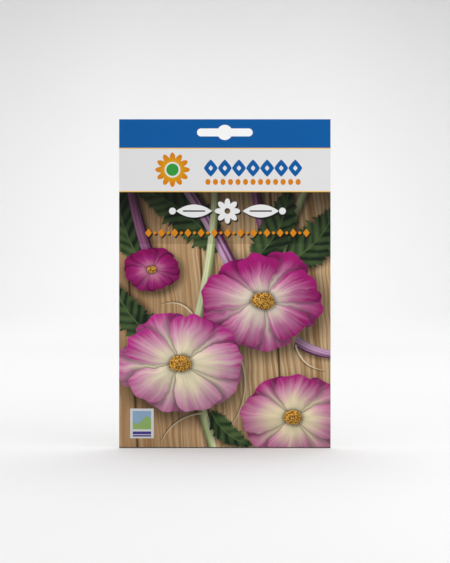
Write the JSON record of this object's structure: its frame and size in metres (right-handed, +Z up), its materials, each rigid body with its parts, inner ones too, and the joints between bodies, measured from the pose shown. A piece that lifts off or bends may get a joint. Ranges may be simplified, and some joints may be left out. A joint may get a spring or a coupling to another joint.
{
  "type": "seed packet",
  "caption": "Flat sealed paper packet of garden seeds, with a slightly pillowed pocket and a butterfly hang slot through its flat header.",
  "frame": {"origin": "middle of the hang slot, in the plane where the two panels meet", "axes": "+Z up along the packet's height, -Y out of the printed front, +X to the right as the front is seen"},
  "size_m": [0.09, 0.004, 0.14],
  "materials": {
    "front_print": "coated paper, printed in colour, satin; white at the cut edges",
    "back_print": "coated paper, printed white with a blue header, satin; white at the cut edges",
    "seed_coat": "matt, fine netted seed coats in mixed browns"
  },
  "bodies": {
    "root": {"front_panel": "front_print", "back_panel": "back_print", "seeds": "seed_coat"}
  },
  "joints": []
}
